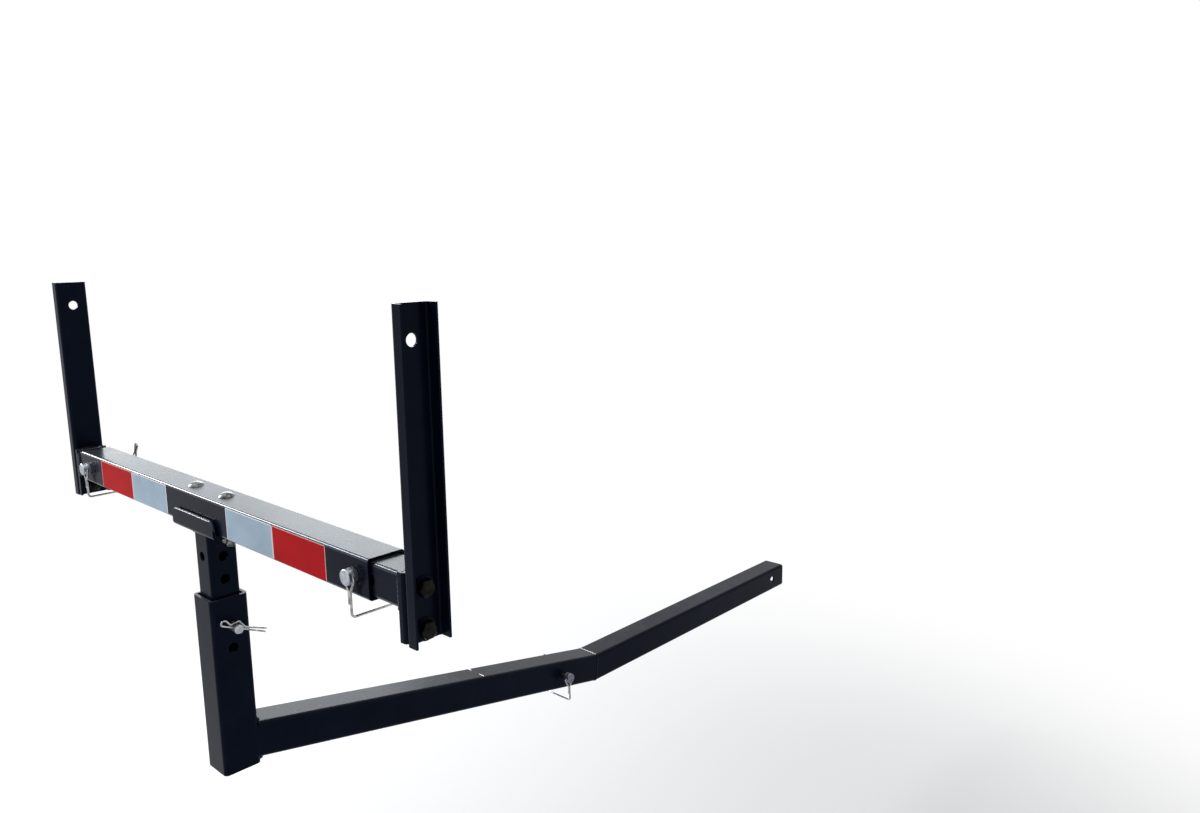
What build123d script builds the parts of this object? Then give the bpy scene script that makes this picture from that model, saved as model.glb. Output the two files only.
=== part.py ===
"""Truck bed extender: a hitch-mounted crossbar with two sliding uprights.

Frame: origin at the centre of the hitch pin hole, +Y towards the vehicle,
+X to the vehicle's right, +Z up. Millimetres.
"""
from build123d import *
from math import acos, atan2, cos, degrees, hypot, pi, radians, sin, tan
import os

# Base: square tube from the receiver to the post
main_tube = 50.8
main_wall = 4
outer_corner_walls = 1.5
inner_corner_walls = 0.6
shank_beyond_pin = 45
hitch_pin_hole = 16.3
mitre_distance = 614.2
base_rise = 11.8
stub_length = 284
insert_clearance = 0.4
insert_wall = 4
insert_setback = 40
insert_depth_in_base = 80
base_lock_distance = 93

# Post: sleeve welded to the base, inner post that slides in it
post_distance = 1310
sleeve_size = 50.8
sleeve_wall = 4
sleeve_above_pin = 38.2
sleeve_below_base = 6
post_size = 38
post_wall = 3
post_hole_pitch = 31
post_hole_count = 8
post_first_hole = 34
post_pin_place = 3
post_end_margin = 15

# Saddle: folded bracket under the crossbar
saddle_wall = 5
saddle_length = 112
saddle_side = 18.5
saddle_play = 1
saddle_corner = 10
saddle_bolt_spacing = 84

# Crossbar and arms
crossbar_height = 467
crossbar_length = 765
crossbar_wall = 2.7
arm_size = 38
arm_wall = 3
arm_clearance = 0.8
arm_hole_pitch = 25.4
arm_hole_count = 7
arm_end_margin = 60
arm_pin_inset = 26
arm_last_hole = 59
right_arm_steps_out = 1
left_arm_steps_out = 0

# Uprights and the brackets they bolt to
sheet = 2.5
bend = 2.5
upright_depth = 16
upright_length = 332
upright_below = 53
upright_hole = 13
upright_hole_from_top = 35
bracket_depth = 10
bracket_above_arm = 2
bracket_short = 1
upright_bolt_rise = 2
upright_bolt_spacing = 43

# Fasteners
bolt_size = 10
bolt_hole = bolt_size + 1
thread_clearance = 0.05
hex_across_flats = 17
hex_head_height = 6.4
nut_height = 8.4
crown_fall = 1.3
large_washer = 24
small_washer = 21
washer_thickness = 2
dome_diameter = 20.6
dome_height = 5.2
square_neck = bolt_size
square_hole = square_neck + 0.4
tip_chamfer = 1
bolt_past_nut = 5

# Pins, bails and clip
pin_diameter = 12
pin_hole = pin_diameter + 1
sleeve_hole = pin_hole + 0.5
head_radius = pin_diameter / 2 + 2.8
head_thickness = 3.8
head_edge = 0.8
neck_length = 3.4
shank_length = 73
tail_taper = 2
tail_taper_length = 3
face_play = 0.3
base_lock_play = 10
bail_wire = 2.8
wire_play = 0.15
wire_lap = 0.05
wire_bend = 2.5
eye_width = 17
eye_drop = 17
eye_shoulder = 4.25
eye_tail = 30
bail_drop = 44
bail_bend = 5
bail_reach = 67
loop_height = 31
base_loop_height = 22
loop_opening = 2
loop_lean = 26
loop_tip = 3.6
clip_wire = 2.4
clip_hole = clip_wire + 0.6
clip_leg = 42
clip_loop = 22.8
clip_round = 3.4
clip_pinch = clip_wire + 0.3
clip_waist = 10
clip_hump = 9.2
clip_throat = 11.5
clip_flare = 4.5
clip_tilt = 24
clip_stand_off = 13
post_pin_past_face = 21
handle_gap = 1
handle_bend = 14
handle_length = 45

# Reflective panels
panel_length = 111
panel_height = 40
panel_thickness = 0.4
panel_start = 83
panel_gap = 0.5
panel_corner = 1.5

# Worked out from the sizes above
rise = radians(base_rise)
loop_radius = pin_diameter / 2 + wire_play + bail_wire / 2
insert_size = main_tube - 2 * main_wall - 2 * insert_clearance
crossbar_size = arm_size + 2 * (arm_clearance + crossbar_wall)
crossbar_bottom = crossbar_height - crossbar_size / 2
crossbar_top = crossbar_height + crossbar_size / 2
saddle_bottom = crossbar_bottom - saddle_wall
pin_height = saddle_bottom - post_first_hole - post_pin_place * post_hole_pitch
sleeve_top = pin_height + sleeve_above_pin
arm_pin_x = crossbar_length / 2 - arm_pin_inset
sleeve_face = post_distance - sleeve_size / 2
base_foot = (sleeve_face - mitre_distance) * tan(rise) - main_tube / 2 / cos(rise)
sleeve_bottom = base_foot - sleeve_below_base
bracket_width = arm_size + 2 * sheet
upright_width = bracket_width
upright_bottom = crossbar_height - upright_below

base_run = Plane(origin=(0, -mitre_distance, 0), x_dir=(1, 0, 0), z_dir=(0, -cos(rise), sin(rise)))
mitre = Plane(origin=(0, -mitre_distance, 0), x_dir=(1, 0, 0), z_dir=(0, cos(rise / 2), -sin(rise / 2)))
ARM_STEPS = {"left": left_arm_steps_out, "right": right_arm_steps_out}
SIDES = {"left": -1, "right": 1}


def web_x(name):
    """Where the web of this side's upright meets the web of its bracket."""
    return SIDES[name] * (arm_pin_x + ARM_STEPS[name] * arm_hole_pitch + arm_last_hole)


def save(part, label):
    """Names a finished piece and writes its STEP file."""
    part.label = label
    export_step(part, f"parts/{label}.step")


def tube_section(size, wall):
    """Square tube section with rolled corners, drawn in the open sketch."""
    RectangleRounded(size, size, outer_corner_walls * wall)
    RectangleRounded(size - 2 * wall, size - 2 * wall, inner_corner_walls * wall, mode=Mode.SUBTRACT)


def channel_section(width, depth, wall, inner_radius):
    """Folded channel: web on local X, flanges up local Y."""
    Rectangle(width, depth, align=(Align.CENTER, Align.MIN))
    fillet(vertices().group_by(Axis.Y)[0], inner_radius + wall)
    with Locations((0, wall)):
        Rectangle(width - 2 * wall, depth, align=(Align.CENTER, Align.MIN), mode=Mode.SUBTRACT)
    fillet(vertices().filter_by_position(Axis.Y, wall - 0.01, wall + 0.01), inner_radius)


def cross_drill(plane, diameter, reach):
    """Drills straight through the open part, both ways from the plane."""
    with BuildSketch(plane) as hole:
        Circle(diameter / 2)
    extrude(hole.sketch, amount=reach, both=True, mode=Mode.SUBTRACT)


def side_plane(y, z):
    """Plane across X, for holes through the side walls."""
    return Plane(origin=(0, y, z), x_dir=(0, 1, 0), z_dir=(1, 0, 0))


def front_plane(x, z):
    """Plane across Y on the post's centre, for holes from front to back."""
    return Plane(origin=(x, -post_distance, z), x_dir=(1, 0, 0), z_dir=(0, -1, 0))


def up_plane(x, z):
    """Level plane on the post's centre line, shifted along X."""
    return Plane(origin=(x, -post_distance, z), x_dir=(1, 0, 0), z_dir=(0, 0, 1))


def channel_plane(x, z, opens):
    """Level plane for an upright channel whose open side faces opens * X."""
    return Plane(origin=(x, -post_distance, z), x_dir=(0, -opens, 0), z_dir=(0, 0, 1))


def end_plane(x, z, direction):
    """Plane across X at the post, looking out along direction * X."""
    return Plane(origin=(x, -post_distance, z), x_dir=(0, 1, 0), z_dir=(direction, 0, 0))


def base_point(distance):
    """Point on the base run's centre line, measured from the mitre."""
    return (-mitre_distance - distance * cos(rise), distance * sin(rise))


# Base
def make_shank_tube():
    """Level tube with the hitch pin hole, cut off at the mitre."""
    with BuildPart() as shank_tube:
        with BuildSketch(Plane(origin=(0, shank_beyond_pin, 0), x_dir=(1, 0, 0), z_dir=(0, -1, 0))):
            tube_section(main_tube, main_wall)
        extrude(amount=shank_beyond_pin + mitre_distance + main_tube)
        split(bisect_by=mitre, keep=Keep.TOP)
        cross_drill(side_plane(0, 0), hitch_pin_hole, main_tube)
    save(shank_tube.part, "shank_tube")


def make_stub_tube():
    """Inclined tube welded to the shank at the mitre, with the base lock pin's hole."""
    with BuildPart() as stub_tube:
        with BuildSketch(base_run.offset(-main_tube)):
            tube_section(main_tube, main_wall)
        extrude(amount=main_tube + stub_length)
        split(bisect_by=mitre, keep=Keep.BOTTOM)
        cross_drill(side_plane(*base_point(base_lock_distance)), pin_hole, main_tube)
    save(stub_tube.part, "stub_tube")


def make_coupling_insert():
    """Inner tube: welded in the base tube, pinned in the stub."""
    with BuildPart() as coupling_insert:
        with BuildSketch(base_run.offset(insert_setback)):
            tube_section(insert_size, insert_wall)
        extrude(amount=stub_length - insert_setback + insert_depth_in_base)
        cross_drill(side_plane(*base_point(base_lock_distance)), pin_hole, main_tube)
    save(coupling_insert.part, "coupling_insert")


def make_base_tube():
    """Inclined tube from the stub's end, cut upright where it meets the sleeve."""
    run = (sleeve_face - mitre_distance) / cos(rise) - stub_length + main_tube
    with BuildPart() as base_tube:
        with BuildSketch(base_run.offset(stub_length)):
            tube_section(main_tube, main_wall)
        extrude(amount=run)
        split(bisect_by=Plane(origin=(0, -sleeve_face, 0), x_dir=(1, 0, 0), z_dir=(0, 1, 0)), keep=Keep.TOP)
    save(base_tube.part, "base_tube")


def make_post_sleeve():
    """Outer tube of the post with two pin holes."""
    with BuildPart() as post_sleeve:
        with BuildSketch(up_plane(0, sleeve_bottom)):
            tube_section(sleeve_size, sleeve_wall)
        extrude(amount=sleeve_top - sleeve_bottom)
        for step in range(2):
            place = side_plane(-post_distance, pin_height - step * post_hole_pitch)
            cross_drill(place, sleeve_hole, sleeve_size)
    save(post_sleeve.part, "post_sleeve")


# Post
def make_inner_post():
    """Inner tube with a row of holes; the top hole is drilled both ways."""
    length = post_first_hole + (post_hole_count - 1) * post_hole_pitch + post_end_margin
    with BuildPart() as inner_post:
        with BuildSketch(up_plane(0, saddle_bottom - length)):
            tube_section(post_size, post_wall)
        extrude(amount=length)
        for step in range(post_hole_count):
            height = saddle_bottom - post_first_hole - step * post_hole_pitch
            cross_drill(side_plane(-post_distance, height), pin_hole, post_size)
        cross_drill(front_plane(0, saddle_bottom - post_first_hole), pin_hole, post_size)
    save(inner_post.part, "inner_post")


def make_saddle():
    """Folded U under the crossbar, its side plates rounded at the top corners."""
    width = crossbar_size + 2 * (saddle_play + saddle_wall)
    with BuildPart() as saddle:
        with BuildSketch(end_plane(-saddle_length / 2, saddle_bottom, 1)):
            channel_section(width, saddle_wall + saddle_side, saddle_wall, saddle_play)
        extrude(amount=saddle_length)
        fillet(edges().filter_by(Axis.Y).group_by(Axis.Z)[-1], saddle_corner)
        for side in (-1, 1):
            cross_drill(up_plane(side * saddle_bolt_spacing / 2, saddle_bottom), bolt_hole, 2 * saddle_wall)
    save(saddle.part, "saddle")


def make_crossbar():
    """Outer tube for both arms: lock pin holes near its ends, bolt holes in the middle."""
    with BuildPart() as crossbar:
        with BuildSketch(end_plane(-crossbar_length / 2, crossbar_height, 1)):
            tube_section(crossbar_size, crossbar_wall)
        extrude(amount=crossbar_length)
        for side in (-1, 1):
            cross_drill(front_plane(side * arm_pin_x, crossbar_height), pin_hole, crossbar_size)
            with BuildSketch(up_plane(side * saddle_bolt_spacing / 2, crossbar_height)):
                Rectangle(square_hole, square_hole)
            extrude(amount=crossbar_size, mode=Mode.SUBTRACT)
            with BuildSketch(up_plane(side * saddle_bolt_spacing / 2, crossbar_height)):
                Circle(bolt_hole / 2)
            extrude(amount=-crossbar_size, mode=Mode.SUBTRACT)
    save(crossbar.part, "crossbar")


def carriage_bolt(length):
    """Domed bolt with a square neck; its seat is at the origin, head up."""
    sphere_radius = ((dome_diameter / 2) ** 2 + dome_height ** 2) / (2 * dome_height)
    with BuildPart() as bolt:
        with BuildSketch(Plane.XZ):
            with BuildLine():
                Line((0, 0), (dome_diameter / 2, 0))
                RadiusArc((dome_diameter / 2, 0), (0, dome_height), -sphere_radius)
                Line((0, dome_height), (0, 0))
            make_face()
        revolve(axis=Axis.Z)
        with BuildSketch(Plane.XY):
            Rectangle(square_neck, square_neck)
        extrude(amount=-crossbar_wall)
        with BuildSketch(Plane.XY):
            Circle(bolt_size / 2)
        extrude(amount=-length)
        chamfer(edges().group_by(Axis.Z)[0], tip_chamfer)
    return bolt.part


def crown_blank(height):
    """Turned blank that gives a hexagon of this height its chamfered crown."""
    flat = hex_across_flats / 2
    corner = flat / cos(pi / 6)
    with BuildPart() as blank:
        with BuildSketch(Plane.XZ):
            with BuildLine():
                Polyline((0, 0), (corner, 0), (corner, height - crown_fall), (flat - crown_fall, height),
                         (0, height), close=True)
            make_face()
        revolve(axis=Axis.Z)
    return blank.part


def hex_bolt(length):
    """Hex bolt; its seat is at the origin, head up."""
    crown = crown_blank(hex_head_height)
    with BuildPart() as bolt:
        with BuildSketch(Plane.XY):
            RegularPolygon(hex_across_flats / 2, 6, major_radius=False)
        extrude(amount=hex_head_height)
        add(crown, mode=Mode.INTERSECT)
        with BuildSketch(Plane.XY):
            Circle(bolt_size / 2)
        extrude(amount=-length)
        chamfer(edges().group_by(Axis.Z)[0], tip_chamfer)
    return bolt.part


def hex_nut():
    """Plain hex nut; its seat is at the origin, body up."""
    crown = crown_blank(nut_height)
    with BuildPart() as nut:
        with BuildSketch(Plane.XY):
            RegularPolygon(hex_across_flats / 2, 6, major_radius=False)
        extrude(amount=nut_height)
        add(crown, mode=Mode.INTERSECT)
        with BuildSketch(Plane.XY):
            Circle(bolt_size / 2 + thread_clearance)
        extrude(amount=nut_height, mode=Mode.SUBTRACT)
    return nut.part


def washer(diameter):
    """Flat washer; its lower face is at the origin."""
    with BuildPart() as ring:
        with BuildSketch(Plane.XY):
            Circle(diameter / 2)
            Circle(bolt_hole / 2, mode=Mode.SUBTRACT)
        extrude(amount=washer_thickness)
    return ring.part


def save_group(piece, planes, label):
    """Writes copies of one fastener as separate solids in one node."""
    copies = [plane.location * piece for plane in planes]
    save(Compound(children=copies), label)


def make_saddle_fasteners():
    """Two carriage bolts down through crossbar and saddle, with washers and nuts."""
    grip = crossbar_size + saddle_wall + washer_thickness
    bolt = carriage_bolt(grip + nut_height + bolt_past_nut)
    spots = [side * saddle_bolt_spacing / 2 for side in (-1, 1)]
    down = [Plane(origin=(x, -post_distance, saddle_bottom), z_dir=(0, 0, -1)) for x in spots]
    save_group(bolt, [up_plane(x, crossbar_top) for x in spots], "saddle_bolts")
    save_group(washer(small_washer), down, "saddle_washers")
    save_group(hex_nut(), [plane.offset(washer_thickness) for plane in down], "saddle_nuts")


def make_panels():
    """Red panels outside, silver panels inside, on the crossbar's front."""
    front_y = -post_distance - crossbar_size / 2
    front = Plane(origin=(0, front_y, crossbar_height), x_dir=(1, 0, 0), z_dir=(0, -1, 0))
    middle = panel_start + panel_length / 2
    for label, place in (("silver_panels", middle), ("red_panels", middle + panel_length)):
        with BuildPart() as panels:
            with BuildSketch(front):
                with Locations((-place, 0), (place, 0)):
                    RectangleRounded(panel_length - panel_gap, panel_height, panel_corner)
            extrude(amount=panel_thickness)
        save(panels.part, label)


# Arms and uprights
def make_arm(name):
    """Inner tube that slides in the crossbar, with its row of lock holes."""
    side = SIDES[name]
    end = web_x(name) - side * (sheet + bend)
    length = arm_last_hole + (arm_hole_count - 1) * arm_hole_pitch + arm_end_margin - sheet - bend
    last_hole = web_x(name) - side * arm_last_hole
    with BuildPart() as arm:
        with BuildSketch(end_plane(end, crossbar_height, -side)):
            tube_section(arm_size, arm_wall)
        extrude(amount=length)
        for step in range(arm_hole_count):
            place = front_plane(last_hole - side * step * arm_hole_pitch, crossbar_height)
            cross_drill(place, pin_hole, arm_size)
    save(arm.part, f"{name}_arm")


def upright_bolt_heights():
    """Heights of the two bolts that hold an upright to its bracket, upper one first."""
    upper = crossbar_height + upright_bolt_rise
    return upper, upper - upright_bolt_spacing


def make_bracket(name):
    """Short channel that wraps the arm's end and hangs below it."""
    side = SIDES[name]
    bottom = upright_bottom + bracket_short
    top = crossbar_height + arm_size / 2 + bracket_above_arm
    with BuildPart() as bracket:
        with BuildSketch(channel_plane(web_x(name), bottom, -side)):
            channel_section(bracket_width, bracket_depth, sheet, bend)
        extrude(amount=top - bottom)
        for height in upright_bolt_heights():
            cross_drill(side_plane(-post_distance, height).offset(web_x(name)), bolt_hole, 2 * sheet)
    save(bracket.part, f"{name}_bracket")


def make_upright(name):
    """Tall channel, open outwards, with a tie-down hole near its top."""
    side = SIDES[name]
    with BuildPart() as upright:
        with BuildSketch(channel_plane(web_x(name), upright_bottom, side)):
            channel_section(upright_width, upright_depth, sheet, bend)
        extrude(amount=upright_length)
        for height in upright_bolt_heights():
            cross_drill(side_plane(-post_distance, height).offset(web_x(name)), bolt_hole, 2 * sheet)
        tie_down = side_plane(-post_distance, upright_bottom + upright_length - upright_hole_from_top)
        cross_drill(tie_down.offset(web_x(name)), upright_hole, 2 * sheet)
    save(upright.part, f"{name}_upright")


def make_upright_fasteners(name):
    """Two hex bolts from outside, with large washers, and nuts against the bracket."""
    side = SIDES[name]
    grip = 2 * sheet + washer_thickness
    outside = web_x(name) + side * sheet
    inside = web_x(name) - side * sheet
    seats = [end_plane(outside, height, side) for height in upright_bolt_heights()]
    backs = [end_plane(inside, height, -side) for height in upright_bolt_heights()]
    save_group(washer(large_washer), seats, f"{name}_upright_washers")
    save_group(hex_bolt(grip + nut_height + bolt_past_nut),
               [seat.offset(washer_thickness) for seat in seats], f"{name}_upright_bolts")
    save_group(hex_nut(), backs, f"{name}_upright_nuts")


# Pins
def make_lock_pin(axis, seat, label):
    """Turned pin, head up the axis: collar on the seat, neck drilled for the wire, end disc."""
    radius = pin_diameter / 2
    tail = seat - shank_length
    neck = seat + head_thickness
    disc = neck + neck_length
    end = disc + head_thickness
    profile = Plane(origin=axis.origin, x_dir=axis.x_dir, z_dir=-axis.y_dir)
    with BuildPart() as pin:
        with BuildSketch(profile):
            with BuildLine():
                Polyline((0, tail), (radius - tail_taper, tail), (radius, tail + tail_taper_length),
                         (radius, seat), (head_radius, seat), (head_radius, neck), (radius, neck),
                         (radius, disc), (head_radius, disc), (head_radius, end - head_edge),
                         (head_radius - head_edge, end), (0, end), close=True)
            make_face()
        revolve(axis=Axis(axis.origin, axis.z_dir))
        cross = Plane(origin=axis.offset(neck + neck_length / 2).origin, z_dir=axis.x_dir)
        cross_drill(cross, bail_wire + 2 * wire_play, pin_diameter)
    save(pin.part, label)


def eye_leg(plane, side, foot):
    """One wire of the eye: out of the neck's cross hole, round the neck's side, down to the foot."""
    inner = bail_wire / 2 - wire_lap
    outer = eye_width / 2
    with BuildPart() as leg:
        with BuildLine(plane) as path:
            FilletPolyline((side * inner, 0), (side * outer, 0), (side * outer, -eye_shoulder),
                           (side * inner, -eye_drop), (side * inner, -foot), radius=wire_bend)
        with BuildSketch(Plane(origin=path.line @ 0, z_dir=path.line % 0)):
            Circle(bail_wire / 2)
        sweep(path=path.line)
    return leg.part


def tail_loop(plane, height):
    """Wire loop round the pin's tail, drawn in above it, then out to a round tip, leaning to one side."""
    grip = bail_wire / 2 + wire_play
    leave = degrees(atan2(eye_drop, grip) - acos(loop_radius / hypot(eye_drop, grip)))
    turn = 90 + leave
    lean = radians(loop_lean)
    leaning = Plane(origin=plane.origin, x_dir=plane.x_dir * cos(lean) - plane.y_dir * sin(lean),
                    z_dir=plane.z_dir)
    with BuildPart() as loop:
        with BuildLine(leaning) as path:
            right = CenterArc((0, 0), loop_radius, loop_lean - 90, turn - loop_lean)
            left = CenterArc((0, 0), loop_radius, 180 - leave, turn + loop_lean - loop_opening)
            FilletPolyline(right @ 1, (grip, eye_drop), (loop_tip, height), (-loop_tip, height),
                           (-grip, eye_drop), left @ 0, radius=wire_bend)
        with BuildSketch(Plane(origin=path.line @ 0, z_dir=path.line % 0)):
            Circle(bail_wire / 2)
        sweep(path=path.line)
    return loop.part


def make_bail(axis, seat, height, label):
    """Spring wire: an eye in the neck, one wire down, under the tube and up to the loop on the tail."""
    eye = seat + head_thickness + neck_length / 2
    loop = seat - bail_reach
    wire_x = bail_wire / 2 - wire_lap
    pieces = [eye_leg(axis.offset(eye), -1, eye_tail), eye_leg(axis.offset(eye), 1, eye_drop + bail_wire),
              tail_loop(axis.offset(loop), height)]
    hanging = Plane(origin=axis.origin + axis.x_dir * wire_x, x_dir=axis.z_dir, z_dir=-axis.x_dir)
    with BuildPart() as bail:
        with BuildLine(hanging) as stem:
            FilletPolyline((eye, -eye_drop - bail_wire), (eye, -bail_drop), (loop, -bail_drop),
                           (loop, -loop_radius), radius=bail_bend)
        with BuildSketch(Plane(origin=stem.line @ 0, z_dir=stem.line % 0)):
            Circle(bail_wire / 2)
        sweep(path=stem.line)
        add(pieces)
    save(bail.part, label)


def make_lock_pins():
    """Three alike: one in each end of the crossbar, one in the base that stands off by its play."""
    for name, side in SIDES.items():
        axis = front_plane(side * arm_pin_x, crossbar_height)
        make_lock_pin(axis, crossbar_size / 2 + face_play, f"{name}_lock_pin")
        make_bail(axis, crossbar_size / 2 + face_play, loop_height, f"{name}_lock_bail")
    axis = side_plane(*base_point(base_lock_distance))
    make_lock_pin(axis, main_tube / 2 + base_lock_play, "base_lock_pin")
    make_bail(axis, main_tube / 2 + base_lock_play, base_loop_height, "base_lock_bail")


def clip_plane():
    """Plane of the R clip: across the post pin, outside the sleeve, tilted as it hangs."""
    tilt = radians(clip_tilt)
    return Plane(origin=(sleeve_size / 2 + clip_stand_off, -post_distance, pin_height),
                 x_dir=(0, cos(tilt), -sin(tilt)), z_dir=(1, 0, 0))


def make_post_pin():
    """Bent hitch pin with a cross hole for its clip."""
    end = sleeve_size / 2 + post_pin_past_face
    turn = -sleeve_size / 2 - handle_gap - handle_bend
    pin_plane = Plane(origin=(0, -post_distance, pin_height), x_dir=(1, 0, 0), z_dir=(0, -1, 0))
    with BuildPart() as post_pin:
        with BuildLine(pin_plane) as path:
            FilletPolyline((end, 0), (turn, 0), (turn, -handle_length), radius=handle_bend)
        with BuildSketch(Plane(origin=path.line @ 0, z_dir=path.line % 0)):
            Circle(pin_diameter / 2)
        sweep(path=path.line)
        chamfer(edges().group_by(Axis.X)[-1], tip_chamfer)
        with BuildSketch(Plane(origin=clip_plane().origin, z_dir=clip_plane().x_dir)):
            Circle(clip_hole / 2)
        extrude(amount=pin_diameter, both=True, mode=Mode.SUBTRACT)
    save(post_pin.part, "post_pin")


def make_post_pin_clip():
    """R clip: a straight leg through the pin, a round end, and a leg humped over the pin."""
    turn = clip_round - clip_loop
    top = 2 * clip_round
    with BuildPart() as clip:
        with BuildLine(clip_plane()) as path:
            Line((clip_leg, 0), (turn, 0))
            ThreePointArc((turn, 0), (-clip_loop, clip_round), (turn, top))
            FilletPolyline((turn, top), (turn + clip_wire, top), (-clip_waist, clip_pinch),
                           (0, clip_hump), (clip_throat, clip_pinch), (clip_leg, clip_flare),
                           radius=clip_wire)
        with BuildSketch(Plane(origin=path.line @ 0, z_dir=path.line % 0)):
            Circle(clip_wire / 2)
        sweep(path=path.line)
    save(clip.part, "post_pin_clip")


def main():
    """Builds every piece."""
    os.makedirs("parts", exist_ok=True)
    make_shank_tube()
    make_stub_tube()
    make_coupling_insert()
    make_base_tube()
    make_post_sleeve()
    make_inner_post()
    make_saddle()
    make_crossbar()
    make_saddle_fasteners()
    make_panels()
    for name in SIDES:
        make_arm(name)
        make_bracket(name)
        make_upright(name)
        make_upright_fasteners(name)
    make_lock_pins()
    make_post_pin()
    make_post_pin_clip()


main()
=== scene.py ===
"""Looks of a truck bed extender: powder coated square tube, plated pins and reflective panels.

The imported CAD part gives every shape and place. This script dresses its nodes with procedural
finishes and adds what the solids leave out: weld beads, the line of a seam, thick coat on rolled
corners and plate edges, and screw threads. Lengths are metres in the part's own frame: origin at
the hitch pin hole, +Y from the post towards the shank's end, +X to its right, +Z up.
"""

import logging
import math
from dataclasses import dataclass, field
from enum import Enum

import bpy
import numpy as np
from mathutils import Matrix, Vector

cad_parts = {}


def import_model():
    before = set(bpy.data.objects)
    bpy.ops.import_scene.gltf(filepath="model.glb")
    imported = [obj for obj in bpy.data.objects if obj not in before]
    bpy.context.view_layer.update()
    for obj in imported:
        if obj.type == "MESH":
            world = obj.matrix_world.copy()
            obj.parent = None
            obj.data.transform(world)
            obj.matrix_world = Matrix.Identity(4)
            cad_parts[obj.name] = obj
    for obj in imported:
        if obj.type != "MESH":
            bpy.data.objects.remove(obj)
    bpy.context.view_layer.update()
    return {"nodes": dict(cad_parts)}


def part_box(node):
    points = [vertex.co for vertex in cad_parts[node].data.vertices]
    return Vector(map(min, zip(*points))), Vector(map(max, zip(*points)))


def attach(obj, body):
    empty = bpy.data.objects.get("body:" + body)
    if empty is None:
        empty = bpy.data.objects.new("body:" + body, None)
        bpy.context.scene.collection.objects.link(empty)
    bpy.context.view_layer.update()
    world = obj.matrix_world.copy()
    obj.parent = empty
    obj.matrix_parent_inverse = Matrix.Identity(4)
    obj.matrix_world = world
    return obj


Array = np.ndarray
Colour = tuple[float, float, float]
Point = tuple[float, float, float]
Material = bpy.types.Material
Piece = bpy.types.Object
Socket = bpy.types.NodeSocket
LOG = logging.getLogger("bed_extender")

MM = 0.001
PHOTO_WIDTH = 1200
OUTLINE_STEP = 1.5 * MM
ROUNDING = 1e-9


class Side(Enum):
    """Which end of the crossbar a piece belongs to, with the sign of its X."""

    LEFT = -1
    RIGHT = 1

    @property
    def word(self) -> str:
        """The side's word in node and body names."""
        return self.name.lower()


class PanelColour(Enum):
    """Colour of a reflective panel."""

    RED = "red"
    SILVER = "silver"


class Section(Enum):
    """Shape of a weld bead's section."""

    FILLET = "a quarter round in a corner"
    BUTT = "a low half round over a seam"


# Shader building


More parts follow.
